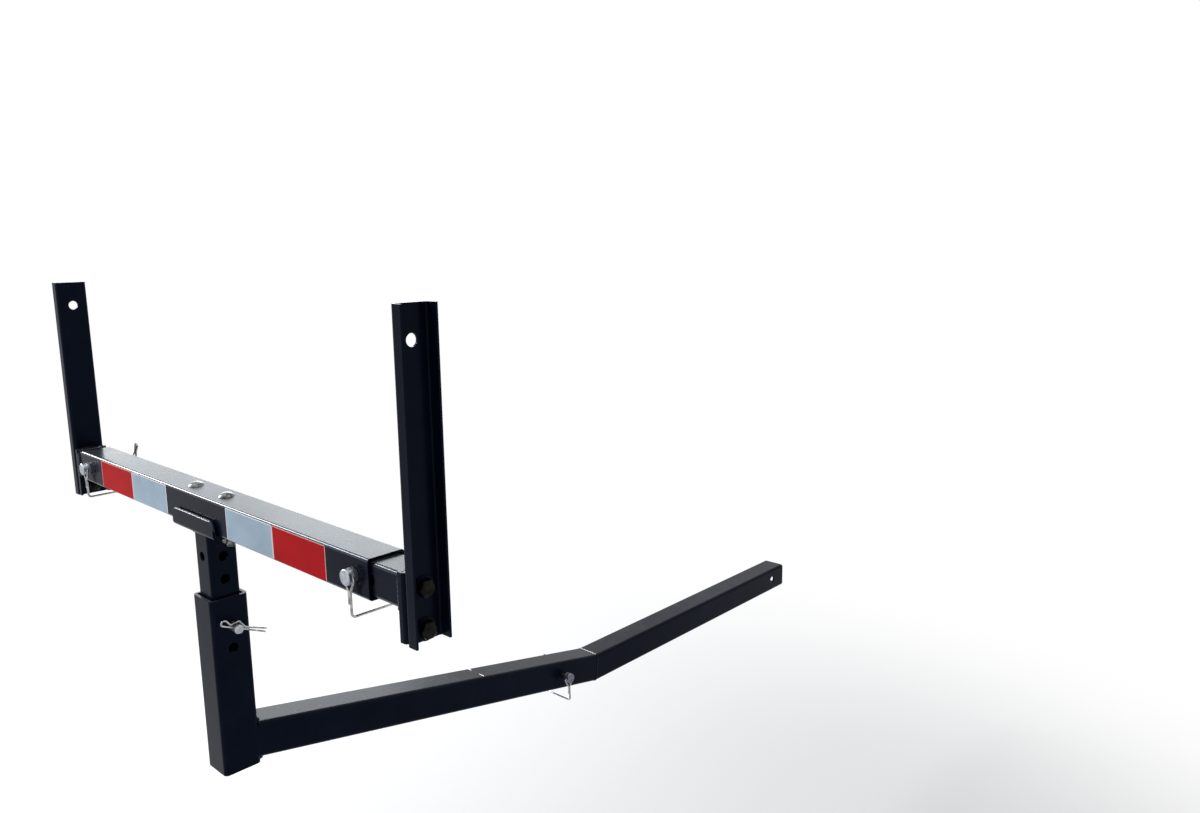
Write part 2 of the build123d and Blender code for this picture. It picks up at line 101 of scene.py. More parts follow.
@dataclass
class ShaderGraph:
    """A node tree with short ways to add and join nodes.

    Attributes:
        material: the material, or the world, whose tree is built.
    """

    material: "Material | bpy.types.World"

    @classmethod
    def new(cls, name: str) -> "ShaderGraph":
        """Starts an empty node material.

        Args:
            name: the material's name.

        Returns:
            The graph of the new material.
        """
        material = bpy.data.materials.new(name)
        material.use_nodes = True
        material.node_tree.nodes.clear()
        return cls(material)

    def node(self, kind: str, **settings: object) -> bpy.types.Node:
        """Adds a node.

        Args:
            kind: the node's type, without its ShaderNode prefix.
            settings: properties to set on it.

        Returns:
            The new node.
        """
        made = self.material.node_tree.nodes.new("ShaderNode" + kind)
        for key, value in settings.items():
            setattr(made, key, value)
        return made

    def join(self, source: Socket, target: Socket) -> None:
        """Links an output socket to an input socket."""
        self.material.node_tree.links.new(source, target)

    def object_point(self) -> Socket:
        """The surface point in the part's frame, in metres."""
        return self.node("TexCoord").outputs["Object"]

    def noise(self, size: float, detail: float = 3.0, roughness: float = 0.5) -> Socket:
        """Noise over the object's own coordinates.

        Args:
            size: width of the pattern's cells, in metres.
            detail: number of finer layers.
            roughness: weight of the finer layers.

        Returns:
            The noise value's socket.
        """
        made = self.node("TexNoise")
        made.inputs["Scale"].default_value = 1.0 / size
        made.inputs["Detail"].default_value = detail
        made.inputs["Roughness"].default_value = roughness
        self.join(self.object_point(), made.inputs["Vector"])
        return made.outputs["Fac"]

    def ramp(self, value: Socket, stops: tuple[tuple[float, Colour], ...]) -> Socket:
        """Colour ramp over a value.

        Args:
            value: the socket that drives the ramp.
            stops: (place, colour) pairs in rising order.

        Returns:
            The ramp's colour socket.
        """
        made = self.node("ValToRGB")
        elements = made.color_ramp.elements
        while len(elements) < len(stops):
            elements.new(1.0)
        for element, (place, colour) in zip(elements, stops):
            element.position = place
            element.color = (*colour, 1.0)
        self.join(value, made.inputs["Fac"])
        return made.outputs["Color"]

    def spread(self, value: Socket, low: float, high: float) -> Socket:
        """Maps a 0 to 1 value on to low to high.

        Args:
            value: the value's socket.
            low: result at 0.
            high: result at 1.

        Returns:
            The mapped value's socket.
        """
        made = self.node("MapRange")
        made.inputs["To Min"].default_value = low
        made.inputs["To Max"].default_value = high
        self.join(value, made.inputs["Value"])
        return made.outputs["Result"]

    def fade(self, value: Socket, start: float, end: float, curve: str) -> Socket:
        """Rises from 0 to 1 between two values along a smooth curve.

        Args:
            value: the value's socket.
            start: value at which the result leaves 0.
            end: value at which it reaches 1.
            curve: Blender's name of the curve.

        Returns:
            The result's socket.
        """
        made = self.node("MapRange", interpolation_type=curve)
        made.inputs["From Min"].default_value = start
        made.inputs["From Max"].default_value = end
        self.join(value, made.inputs["Value"])
        return made.outputs["Result"]

    def math(self, operation: str, a: Socket, b: "Socket | float" = 0.0) -> Socket:
        """One arithmetic step.

        Args:
            operation: Blender's name of the operation.
            a: first value.
            b: second value, a socket or a number.

        Returns:
            The result's socket.
        """
        made = self.node("Math", operation=operation)
        self.join(a, made.inputs[0])
        if isinstance(b, (int, float)):
            made.inputs[1].default_value = b
        else:
            self.join(b, made.inputs[1])
        return made.outputs[0]

    def cover(self, under: Socket, tone: Colour, share: Socket) -> Socket:
        """Lays a plain colour over another colour.

        Args:
            under: the colour below.
            tone: the plain colour.
            share: how much of the plain colour shows.

        Returns:
            The mixed colour.
        """
        mix = self.node("Mix", data_type="RGBA")
        mix.inputs["B"].default_value = (*tone, 1.0)
        self.join(under, mix.inputs["A"])
        self.join(share, mix.inputs["Factor"])
        return mix.outputs["Result"]

    def bump(self, height: Socket, distance: float, strength: float) -> Socket:
        """Bump from a height.

        Args:
            height: 0 to 1 height.
            distance: height of 1, in metres.
            strength: how much of it shows.

        Returns:
            The bumped normal.
        """
        made = self.node("Bump")
        made.inputs["Distance"].default_value = distance
        made.inputs["Strength"].default_value = strength
        self.join(height, made.inputs["Height"])
        return made.outputs["Normal"]

    def principled(self, **numbers: float) -> bpy.types.Node:
        """Principled shader wired to the output.

        Args:
            numbers: socket values, by socket name with underscores for spaces.

        Returns:
            The shader node.
        """
        shader = self.node("BsdfPrincipled")
        for key, value in numbers.items():
            shader.inputs[key.replace("_", " ")].default_value = value
        output = self.node("OutputMaterial")
        self.join(shader.outputs["BSDF"], output.inputs["Surface"])
        return shader


@dataclass(frozen=True)
class PowderCoat:
    """Black powder coat with a fine orange peel, blue in its depth, and upward faces made paler,
    partly by a dusty film and partly as a painted highlight.

    Attributes:
        name: the material's name.
        gloss: shader roughness of clean paint.
        duller: what the smears add to that roughness where they are least and most.
        index: refractive index of the coat's clear skin.
        sheen: tint of what the skin mirrors.
        darkest: smear value up to which clean paint is darkest, and that colour.
        palest: smear value from which it is palest, and that colour.
        peel_size: width of the orange peel's bumps.
        peel_height: height of the bumps.
        peel_strength: how much of the bumps shows.
        smear_size: width of the smears.
        smear_detail: number and weight of their finer layers.
        dust: how much paler an upward face is made, partly a dusty film and partly a painted
            highlight.
        dust_range: share of that paleness where the smears are least and most.
        dust_tone: colour of that paleness, and of scuffs.
        upward_power: how fast both go as a face turns away from upward.
        scuffs: how much paler a scuff is.
        scuff_cell: size of the scuffs along X, Y and Z.
        scuff_peak: noise values between which a scuff sets in.
    """

    name: str
    gloss: float = 0.24
    duller: tuple[float, float] = (-0.06, 0.1)
    index: float = 1.13
    sheen: Colour = (0.65, 0.82, 1.0)
    darkest: tuple[float, Colour] = (0.3, (0.0018, 0.0034, 0.0105))
    palest: tuple[float, Colour] = (0.75, (0.0044, 0.0072, 0.0190))
    peel_size: float = 1.3 * MM
    peel_height: float = 0.045 * MM
    peel_strength: float = 0.15
    smear_size: float = 70 * MM
    smear_detail: tuple[float, float] = (7.0, 0.62)
    dust: float = 0.05
    dust_range: tuple[float, float] = (0.2, 1.6)
    dust_tone: Colour = (0.55, 0.57, 0.6)
    upward_power: float = 4.0
    scuffs: float = 0.35
    scuff_cell: tuple[float, float, float] = (22 * MM, 1.1 * MM, 22 * MM)
    scuff_peak: tuple[float, float] = (0.79, 0.84)

    def scuff_lines(self, graph: ShaderGraph) -> Socket:
        """Rare short lines along X on upward faces: the peaks of a noise that is thin along Y.

        Args:
            graph: the tree to add it to.

        Returns:
            1 in the middle of a scuff, 0 outside.
        """
        stretch = graph.node("Mapping", vector_type="POINT")
        stretch.inputs["Scale"].default_value = tuple(1 / size for size in self.scuff_cell)
        graph.join(graph.object_point(), stretch.inputs["Vector"])
        noise = graph.node("TexNoise")
        noise.inputs["Scale"].default_value = 1.0
        noise.inputs["Detail"].default_value = 0.0
        graph.join(stretch.outputs["Vector"], noise.inputs["Vector"])
        return graph.fade(noise.outputs["Fac"], *self.scuff_peak, "SMOOTHSTEP")

    def build(self) -> Material:
        """Near black base over a fine bump, paler on upward faces: scuffs, a dusty film and a
        painted highlight.

        Returns:
            The material.
        """
        graph = ShaderGraph.new(self.name)
        shader = graph.principled(IOR=self.index, Specular_Tint=(*self.sheen, 1.0))
        smears = graph.noise(self.smear_size, *self.smear_detail)
        split = graph.node("SeparateXYZ")
        graph.join(graph.node("NewGeometry").outputs["Normal"], split.inputs[0])
        upward = graph.math("MAXIMUM", split.outputs["Z"], 0.0)
        # Painted highlight: upward faces turn paler, partly a dusty film and partly standing in
        # for the light on top faces.
        dust_and_highlight_share = graph.math("MULTIPLY", graph.spread(smears, *self.dust_range), self.dust)
        scuffed = graph.math("MULTIPLY", self.scuff_lines(graph), self.scuffs)
        marks = graph.math("MULTIPLY", graph.math("MAXIMUM", dust_and_highlight_share, scuffed),
                           graph.math("POWER", upward, self.upward_power))
        clean = graph.ramp(smears, (self.darkest, self.palest))
        graph.join(graph.cover(clean, self.dust_tone, marks), shader.inputs["Base Color"])
        low, high = (self.gloss + change for change in self.duller)
        graph.join(graph.spread(smears, low, high), shader.inputs["Roughness"])
        peel = graph.noise(self.peel_size, detail=1.5)
        graph.join(graph.bump(peel, self.peel_height, self.peel_strength), shader.inputs["Normal"])
        return graph.material


@dataclass(frozen=True)
class Plating:
    """Plated or oxided steel, and painted highlight metal, whose tone and gloss vary in patches.

    Attributes:
        name: the material's name.
        light: colour of bright patches.
        dark: colour of dull patches.
        gloss: shader roughness of the metal.
        duller: what dull and bright patches add to it.
        patch_size: width of the patches.
        patch_detail: number and weight of their finer layers.
        blend: patch values between which dull turns to bright.
        scratch_size: width of the fine bump's marks.
        scratch_height: height of the marks.
        scratch_strength: how much of them shows.
    """

    name: str
    light: Colour
    dark: Colour
    gloss: float = 0.3
    duller: tuple[float, float] = (0.15, -0.05)
    patch_size: float = 6 * MM
    patch_detail: tuple[float, float] = (5.0, 0.65)
    blend: tuple[float, float] = (0.38, 0.62)
    scratch_size: float = 0.7 * MM
    scratch_height: float = 0.03 * MM
    scratch_strength: float = 0.5

    def build(self) -> Material:
        """Metal that is paler and glossier in its bright patches, with a fine bump.

        Returns:
            The material.
        """
        graph = ShaderGraph.new(self.name)
        shader = graph.principled(Metallic=1.0)
        patches = graph.noise(self.patch_size, *self.patch_detail)
        tone = graph.ramp(patches, tuple(zip(self.blend, (self.dark, self.light))))
        graph.join(tone, shader.inputs["Base Color"])
        dull, bright = (self.gloss + change for change in self.duller)
        graph.join(graph.spread(patches, dull, bright), shader.inputs["Roughness"])
        marks = graph.noise(self.scratch_size, detail=2.0)
        relief = graph.bump(marks, self.scratch_height, self.scratch_strength)
        graph.join(relief, shader.inputs["Normal"])
        return graph.material


@dataclass(frozen=True)
class ReflectiveSheet:
    """Retroreflective sheet: colour under a clear face, cell walls, pale cut ends, a painted
    highlight on top.

    Attributes:
        colour: which sheet this is.
        tone: its main colour.
        wall_tone: colour of the cell walls.
        edge_and_highlight_tone: colour of the sealed ends and of the painted highlight along the
            top.
        gloss: shader roughness of the clear face.
        index: refractive index of the clear face.
        weather_size: width of the weathered patches.
        weather_range: noise values between which a patch turns to the main colour.
        worn: brightness of a weathered patch, as a share of the main colour.
        cell: height of a diamond cell.
        slope: slope of the cell walls.
        wall: half width of a cell wall, as a share of the cell.
        wall_height: how far the walls stand out.
        wall_strength: how much of their relief shows.
        first_edge: distance of the nearest panel edge from the middle of the crossbar.
        panel: length of a panel.
        edge: width of the sealed edge at a panel's ends.
        top_highlight: width of the painted highlight along its top edge.
    """

    colour: PanelColour
    tone: Colour
    wall_tone: Colour
    edge_and_highlight_tone: Colour
    gloss: float = 0.38
    index: float = 1.08
    weather_size: float = 30 * MM
    weather_range: tuple[float, float] = (0.25, 0.6)
    worn: float = 0.8
    cell: float = 4.2 * MM
    slope: float = 0.577
    wall: float = 0.06
    wall_height: float = 0.02 * MM
    wall_strength: float = 0.5
    first_edge: float = 83 * MM
    panel: float = 111 * MM
    edge: float = 1.4 * MM
    top_highlight: float = 0.98 * MM

    def cell_walls(self, graph: ShaderGraph, x: Socket, z: Socket) -> Socket:
        """Net of diamonds: two sets of slanted lines over X and Z.

        Args:
            graph: the tree to add it to.
            x: place along the crossbar.
            z: height.

        Returns:
            1 on a cell wall, 0 elsewhere.
        """
        lines = []
        for way in ("ADD", "SUBTRACT"):
            slant = graph.math(way, graph.math("MULTIPLY", x, self.slope), z)
            saw = graph.math("PINGPONG", graph.math("DIVIDE", slant, self.cell), 0.5)
            lines.append(graph.math("LESS_THAN", saw, self.wall))
        return graph.math("MAXIMUM", *lines)

    def sealed_ends_and_highlight(self, graph: ShaderGraph, x: Socket, z: Socket) -> Socket:
        """Sealed ends and a painted highlight on the upper edge, from the distance to the end and
        the top.

        Args:
            graph: the tree to add it to.
            x: place along the crossbar.
            z: height.

        Returns:
            1 in a sealed end or on the painted highlight, 0 elsewhere.
        """
        run = graph.math("SUBTRACT", graph.math("ABSOLUTE", x), self.first_edge)
        ends = graph.math("LESS_THAN", graph.math("PINGPONG", run, self.panel / 2), self.edge)
        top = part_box(self.colour.value + "_panels")[1].z
        # Painted highlight: a pale line along each panel's top edge.
        return graph.math("MAXIMUM", ends, graph.math("GREATER_THAN", z, top - self.top_highlight))

    def build(self) -> Material:
        """Sheet colour, then cell walls, then sealed ends and a painted top highlight, under a
        soft clear face.

        Returns:
            The material.
        """
        graph = ShaderGraph.new(self.colour.value + "_sheet")
        shader = graph.principled(Roughness=self.gloss, IOR=self.index)
        split = graph.node("SeparateXYZ")
        graph.join(graph.object_point(), split.inputs[0])
        x, z = split.outputs["X"], split.outputs["Z"]
        weather = graph.noise(self.weather_size, detail=5.0)
        worn = tuple(self.worn * part for part in self.tone)
        walls, edges = self.cell_walls(graph, x, z), self.sealed_ends_and_highlight(graph, x, z)
        colour = graph.ramp(weather, tuple(zip(self.weather_range, (worn, self.tone))))
        colour = graph.cover(colour, self.wall_tone, walls)
        # The sealed ends, and the painted highlight along the top, take the pale edge tone.
        colour = graph.cover(colour, self.edge_and_highlight_tone, edges)
        graph.join(colour, shader.inputs["Base Color"])
        relief = graph.math("SUBTRACT", walls, graph.math("MULTIPLY", walls, edges))
        relief = graph.bump(relief, self.wall_height, self.wall_strength)
        graph.join(relief, shader.inputs["Normal"])
        return graph.material


SHEETS = (
    ReflectiveSheet(PanelColour.RED, tone=(0.47, 0.007, 0.011), wall_tone=(0.4, 0.012, 0.015),
                    edge_and_highlight_tone=(0.75, 0.4, 0.38)),
    ReflectiveSheet(PanelColour.SILVER, tone=(0.36, 0.47, 0.58), wall_tone=(0.43, 0.54, 0.64),
                    edge_and_highlight_tone=(0.85, 0.87, 0.9)),
)


def wear(finish: "PowderCoat | Plating") -> Material:
    """A field that builds a finish's material together with the paintwork."""
    return field(default_factory=finish.build)


@dataclass
class Paintwork:
    """Every finish, built once.

    Attributes:
        coat: black paint on tubes, saddle, brackets and uprights.
        weld: the same paint over weld beads, a little duller.
        edge: the thick, glossy coat on rolled corners, plate edges and bracket beads.
        zinc: crossbar bolts, washers and nuts.
        black_bolt: the uprights' bolts and nuts.
        pin: turned lock pins of the crossbar, and the post pin.
        wire: spring wire bails and the clip.
        shaded_pin: a darker copy of the pin steel for the base's lock pin, painted shade.
        painted_glint: near-white metal on the seams' ridges, a painted highlight.
        sheets: reflective sheet by colour.
    """

    coat: Material = wear(PowderCoat("black_coat"))
    weld: Material = wear(PowderCoat("weld_coat", gloss=0.26))
    edge: Material = wear(PowderCoat("edge_coat", gloss=0.2, index=1.45))
    zinc: Material = wear(Plating("zinc_plate", light=(0.27, 0.28, 0.262),
                                  dark=(0.025, 0.026, 0.025), gloss=0.25, patch_size=4.5 * MM))
    black_bolt: Material = wear(Plating("black_oxide", light=(0.013, 0.0125, 0.011),
                                        dark=(0.005, 0.005, 0.0045)))
    pin: Material = wear(Plating("pin_steel", light=(0.46, 0.5, 0.54), dark=(0.28, 0.31, 0.34)))
    wire: Material = wear(Plating("spring_wire", light=(0.52, 0.53, 0.54),
                                  dark=(0.18, 0.184, 0.19), gloss=0.22, patch_size=9 * MM))
    # Painted shade: a darker copy of the pin steel, for the base's lock pin.
    shaded_pin: Material = wear(Plating("shaded_pin_steel", light=(0.2, 0.215, 0.25),
                                      dark=(0.09, 0.1, 0.12), gloss=0.26))
    # Painted highlight: near-white metal laid as thin lines on the seams' ridges.
    painted_glint: Material = wear(Plating("painted_glint_steel", light=(0.85, 0.85, 0.84),
                                  dark=(0.65, 0.65, 0.65), gloss=0.5))
    sheets: dict[PanelColour, Material] = field(
        default_factory=lambda: {sheet.colour: sheet.build() for sheet in SHEETS})


# Surface building


def rounded_square(width: float, height: float, radius: float, step: float
                   ) -> tuple[Array, Array]:
    """Closed outline of a rounded rectangle, points and outward normals.

    Corner k turns from angle k*90 to k*90+90 degrees about its own centre, and straight sides are
    filled with evenly spaced points, so point = corner centre + radius * (cos a, sin a).

    Args:
        width: full size along the first axis.
        height: full size along the second axis.
        radius: corner radius.
        step: spacing of points.

    Returns:
        Points (n, 2) and outward unit normals (n, 2), anticlockwise.
    """
    signs = np.array([[1, 1], [-1, 1], [-1, -1], [1, -1]], float)
    centres = signs * (np.array([width, height]) / 2 - radius)
    turns = max(4, round(radius * math.pi / 2 / step))
    angle = (np.arange(4)[:, None] + np.linspace(0, 1, turns + 1)[None, :]) * math.pi / 2
    ray = np.stack([np.cos(angle), np.sin(angle)], axis=-1)
    arcs = centres[:, None, :] + radius * ray
    points, normals = [], []
    for corner in range(4):
        start, end = arcs[corner, -1], arcs[(corner + 1) % 4, 0]
        count = max(2, round(float(np.linalg.norm(end - start)) / step))
        t = np.linspace(0, 1, count + 1)[1:-1, None]
        points += [arcs[corner], start + (end - start) * t]
        normals += [ray[corner], np.repeat(ray[corner, -1:], len(t), axis=0)]
    return np.concatenate(points), np.concatenate(normals)


def link(name: str, data: bpy.types.ID) -> Piece:
    """Puts a mesh, a lamp or a camera into the scene as an object.

    Args:
        name: the object's name.
        data: what the object holds.

    Returns:
        The new object, at the origin.
    """
    made = bpy.data.objects.new(name, data)
    bpy.context.scene.collection.objects.link(made)
    return made


def dress(piece: Piece, material: Material) -> None:
    """Gives a piece one material in place of any it has."""
    piece.data.materials.clear()
    piece.data.materials.append(material)


def read_all(items: bpy.types.bpy_prop_collection, name: str, size: int, kind: type) -> Array:
    """One property of all of a mesh's vertices, corners, faces or triangles.

    Args:
        items: the mesh's vertices, loops, polygons or loop triangles.
        name: the property's name.
        size: how many numbers each item has.
        kind: the numbers' type.

    Returns:
        The values, (n, size), or (n,) for a size of 1.
    """
    values = np.zeros(len(items) * size, kind)
    items.foreach_get(name, values)
    return values.reshape(-1, size) if size > 1 else values


def turn_outwards(piece: Piece) -> None:
    """Flips a closed piece whose signed volume is negative, so that its faces point out.

    The volume is a sixth of the sum, over the triangles, of a . (b x c) for corners a, b and c.

    Args:
        piece: the piece.
    """
    mesh = piece.data
    mesh.calc_loop_triangles()
    corners = read_all(mesh.loop_triangles, "vertices", 3, np.int32)
    places = read_all(mesh.vertices, "co", 3, np.float32)
    a, b, c = places[corners].astype(float).transpose(1, 0, 2)
    if np.einsum("ij,ij->i", a, np.cross(b, c)).sum() < 0:
        mesh.flip_normals()


def grid_mesh(name: str, points: Array, loop_u: bool, loop_v: bool, cap: bool = False) -> Piece:
    """Mesh from a grid of points.

    Face (i, j) joins points (i, j), (i+1, j), (i+1, j+1) and (i, j+1), and wraps where a
    direction loops.

    Args:
        name: the object's name.
        points: (u, v, 3) places in metres.
        loop_u: whether the last row joins the first.
        loop_v: whether the last column joins the first.
        cap: whether the two end rows are closed with one face each.

    Returns:
        The new object, smooth shaded, in the scene.
    """
    rows, columns = points.shape[:2]
    u = np.arange(rows if loop_u else rows - 1)
    v = np.arange(columns if loop_v else columns - 1)
    i, j = np.meshgrid(u, v, indexing="ij")
    next_i, next_j = (i + 1) % rows, (j + 1) % columns
    quads = np.stack([i * columns + j, next_i * columns + j,
                      next_i * columns + next_j, i * columns + next_j], axis=-1)
    faces = quads.reshape(-1, 4).tolist()
    if cap:
        faces.append(list(range(columns)))
        faces.append(list(range((rows - 1) * columns, rows * columns))[::-1])
    mesh = bpy.data.meshes.new(name)
    mesh.from_pydata(points.reshape(-1, 3).tolist(), [], faces)
    mesh.validate()
    mesh.polygons.foreach_set("use_smooth", np.ones(len(mesh.polygons), bool))
    made = link(name, mesh)
    turn_outwards(made)
    return made


def group(name: str, parts: list[Piece]) -> Piece:
    """Joins several meshes into one piece, whose faces keep their shading.

    Args:
        name: the piece's name.
        parts: the objects to join; they are removed.

    Returns:
        The joined piece.
    """
    places, corners, sides, smooth, count = [], [], [], [], 0
    for part in parts:
        mesh = part.data
        places.append(read_all(mesh.vertices, "co", 3, np.float32))
        corners.append(read_all(mesh.loops, "vertex_index", 1, np.int32) + count)
        sides.append(read_all(mesh.polygons, "loop_total", 1, np.int32))
        smooth.append(read_all(mesh.polygons, "use_smooth", 1, bool))
        count += len(mesh.vertices)
        bpy.data.objects.remove(part)
        bpy.data.meshes.remove(mesh)
    faces = np.split(np.concatenate(corners), np.cumsum(np.concatenate(sides))[:-1])
    mesh = bpy.data.meshes.new(name)
    mesh.from_pydata(np.concatenate(places).tolist(), [], [face.tolist() for face in faces])
    mesh.polygons.foreach_set("use_smooth", np.concatenate(smooth))
    return link(name, mesh)


@dataclass
class WeldBead:
    """A weld bead: overlapping round puddles laid along a line.

    Attributes:
        shape: the bead's section.
        pitch: spacing of the puddles.
        ripple: how far a puddle stands over the dips, as a share of the bead's size.
        dip: how far the dips lie below the bead's mean size, as a share of the ripple.
        lag: how far a puddle's edge bends back at its middle, as a share of the pitch.
        tip: size of an open bead's ends, as a share of its full size.
        ease: how many pitches an open bead takes to reach its full size.
        sink: depth of the bead's hidden underside.
        sections: points round the bead's section.
        per_puddle: points along one puddle.
    """

    shape: Section = Section.FILLET
    pitch: float = 2.6 * MM
    ripple: float = 0.16
    dip: float = 0.6
    lag: float = 0.45
    tip: float = 0.15
    ease: float = 1.4
    sink: float = 0.5 * MM
    sections: int = 16
    per_puddle: int = 6

    def profile(self, t: Array, first: float, second: float) -> tuple[Array, Array]:
        """The section before its ripples.

        A fillet reaches first * cos t along its first direction and second * sin t along its
        second, and neither goes below minus the sink. A butt bead reaches first * sin t, not
        below minus the sink, and second * cos t to both sides.

        Args:
            t: angles round the section.
            first: size along the first direction.
            second: size along the second direction.

        Returns:
            Reach along the first and along the second direction.
        """
        if self.shape is Section.BUTT:
            return np.maximum(first * np.sin(t), -self.sink), second * np.cos(t)
        return (np.maximum(first * np.cos(t), -self.sink),
                np.maximum(second * np.sin(t), -self.sink))

    def sweep(self, name: str, line: Array, one: Array, two: Array, first: float, second: float,
              closed: bool = False) -> Piece:
        """Bead along a line.

        With s the distance along the line and t the angle round the section, the point is
        line(s) + k * (a(t) * one(s) + b(t) * two(s)), where a and b are the profile and k is
        1 plus the ripple times (the absolute sine of pi * (s + lag) / pitch, less the dip). An
        open bead's k rises from the tip's share along a quarter sine over the ease.

        Args:
            name: the object's name.
            line: (n, 3) points of the corner or seam that the bead fills.
            one: (n, 3) or (3,) first directions.
            two: (n, 3) or (3,) second directions.
            first: bead size along the first direction.
            second: bead size along the second direction.
            closed: whether the line is a loop.

        Returns:
            The bead.
        """
        ends = line[[*range(len(line)), 0]] if closed else line
        steps = np.linalg.norm(np.diff(ends, axis=0), axis=1)
        length = np.concatenate([[0.0], np.cumsum(steps)])
        puddles = max(3, round(length[-1] / self.pitch))
        s = np.linspace(0, length[-1], puddles * self.per_puddle, endpoint=not closed)

        def along(values: Array) -> Array:
            """Values at the line's points, read at the samples.

            Args:
                values: (n, 3) or (3,) values.

            Returns:
                (samples, 3) values.
            """
            full = np.broadcast_to(values, line.shape)
            full = full[[*range(len(full)), 0]] if closed else full
            return np.stack([np.interp(s, length, full[:, axis]) for axis in range(3)], axis=-1)

        centre, across, rise = along(line), along(one), along(two)
        t = np.linspace(0, 2 * math.pi, self.sections, endpoint=False)
        a, b = self.profile(t, first, second)
        lag = self.lag * (length[-1] / puddles) * np.sin(np.clip(t, 0, math.pi))[None, :]
        wave = np.abs(np.sin(math.pi * (s[:, None] + lag) * puddles / length[-1]))
        swell = 1 + self.ripple * (wave - self.dip)
        if not closed:
            near = np.clip(np.minimum(s, length[-1] - s) / (self.ease * self.pitch), 0, 1)
            swell = swell * (self.tip + (1 - self.tip) * np.sin(near * math.pi / 2)[:, None])
        points = (centre[:, None, :] + (swell * a)[..., None] * across[:, None, :]
                  + (swell * b)[..., None] * rise[:, None, :])
        return grid_mesh(name, points, closed, True, cap=not closed)

    def straight(self, name: str, start: Point, end: Point, one: Point, two: Point,
                 first: float, second: float) -> Piece:
        """Open bead on a straight line from start to end, else as sweep makes it."""
        line = np.array([start, end], float)
        return self.sweep(name, line, np.array(one, float), np.array(two, float), first, second)


@dataclass
class RolledCorner:
    """Thick, glossy coat along a tube's rolled corner.

    Attributes:
        radius: the tube's corner radius.
        build_up: how far the coat stands over the middle of the corner.
        sink: how far the strip's edges lie under the tube's faces.
        depth: depth of its hidden inner edge.
        steps: facets round the corner.
        tip: length of the short faces at each end, which keep the end caps' tilt out of the
            long faces' shading.
        end_gap: how far the strips stay back from the tube's ends.
    """

    radius: float
    build_up: float = 0.08 * MM
    sink: float = 0.02 * MM
    depth: float = 1.2 * MM
    steps: int = 12
    tip: float = 0.2 * MM
    end_gap: float = 0.4 * MM

    def strip(self, axis: Array, one: Array, two: Array) -> Piece:
        """Strip from end to end of one corner.

        With a the angle from the first direction to the second, the skin's point is
        axis + (radius + build_up * sin 2a - sink) * (one * cos a + two * sin a).

        Args:
            axis: (2, 3) ends of the corner's axis.
            one: first direction, out of one of the corner's faces.
            two: second direction, out of the other.

        Returns:
            The strip, smooth on its skin only.
        """
        a = np.linspace(0, math.pi / 2, self.steps + 1)[:, None]
        reach = self.radius + self.build_up * np.sin(2 * a) - self.sink
        skin = reach * (one * np.cos(a) + two * np.sin(a))
        inner = (self.radius - self.depth) * (one + two) / math.sqrt(2)
        section = np.concatenate([skin, inner[None, :]])
        start, end = axis
        tip = (end - start) * self.tip / np.linalg.norm(end - start)
        rows = np.stack([start, start + tip, end - tip, end])
        piece = grid_mesh("strip", rows[:, None, :] + section[None], False, True, cap=True)
        order = np.arange(len(piece.data.polygons))
        quads = (len(rows) - 1) * len(section)
        on_skin = (order % len(section) < self.steps) & (order < quads)
        piece.data.polygons.foreach_set("use_smooth", on_skin)
        return piece

    def strips(self, name: str, node: str) -> Piece:
        """The four corners of a square tube that lies along X.

        Args:
            name: the joined piece's name.
            node: the tube's CAD node.

        Returns:
            The strips as one piece.
        """
        low, high = (np.array(corner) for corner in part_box(node))
        made = []
        for across, up in ((-1.0, 1.0), (1.0, 1.0), (1.0, -1.0), (-1.0, -1.0)):
            y = (low[1] if across < 0 else high[1]) - across * self.radius
            z = (low[2] if up < 0 else high[2]) - up * self.radius
            axis = np.array([[low[0] + self.end_gap, y, z], [high[0] - self.end_gap, y, z]])
            made.append(self.strip(axis, np.array([0, across, 0]), np.array([0, 0, up])))
        return group(name, made)


@dataclass
class ScrewThread:
    """The thread that shows on a bolt's end past its nut.

    Attributes:
        length: length of the thread.
        radius: the bolt's radius.
        pitch: the thread's pitch.
        depth: how far its crest stands over the shank.
        foot_sink: how far its foot lies inside the shank.
        tip_sink: how far its crest lies inside the shank at both ends.
        section: places of foot, crest and foot along the axis, as shares of the pitch.
        per_turn: points round one turn.
    """

    length: float = 4.4 * MM
    radius: float = 5 * MM
    pitch: float = 1.5 * MM
    depth: float = 0.22 * MM
    foot_sink: float = 0.1 * MM
    tip_sink: float = 0.05 * MM
    section: tuple[float, float, float] = (0.05, 0.3, 0.55)
    per_turn: int = 40

    def ridge(self, start: Vector, along: Vector) -> Piece:
        """Triangular ridge on a helix.

        With u the angle round the bolt, the section starts at start + along * pitch * u / 2 pi.
        Its three corners are the foot's two ends, half a pitch apart and a little inside the
        shank, and the crest between them. The crest goes into the shank over the first and the
        last half turn.

        Args:
            start: where the thread starts on the bolt's axis.
            along: unit vector along the axis.

        Returns:
            The ridge.
        """
        turns = self.length / self.pitch - 0.5
        u = np.linspace(0, 2 * math.pi * turns, round(turns * self.per_turn))
        axis = np.array(along)
        first = np.array(along.orthogonal().normalized())
        second = np.cross(axis, first)
        ray = np.cos(u)[:, None] * first + np.sin(u)[:, None] * second
        full = np.clip(np.minimum(u, u[-1] - u) / math.pi, 0, 1)
        foot = np.full_like(u, self.radius - self.foot_sink)
        crest = self.radius + self.depth * full - self.tip_sink * (1 - full)
        reach = np.stack([foot, crest, foot], axis=1)
        travel = self.pitch * u[:, None] / (2 * math.pi) + self.pitch * np.array(self.section)
        points = np.array(start) + reach[..., None] * ray[:, None, :] + travel[..., None] * axis
        return grid_mesh("ridge", points, False, True, cap=True)


# Sub-assemblies


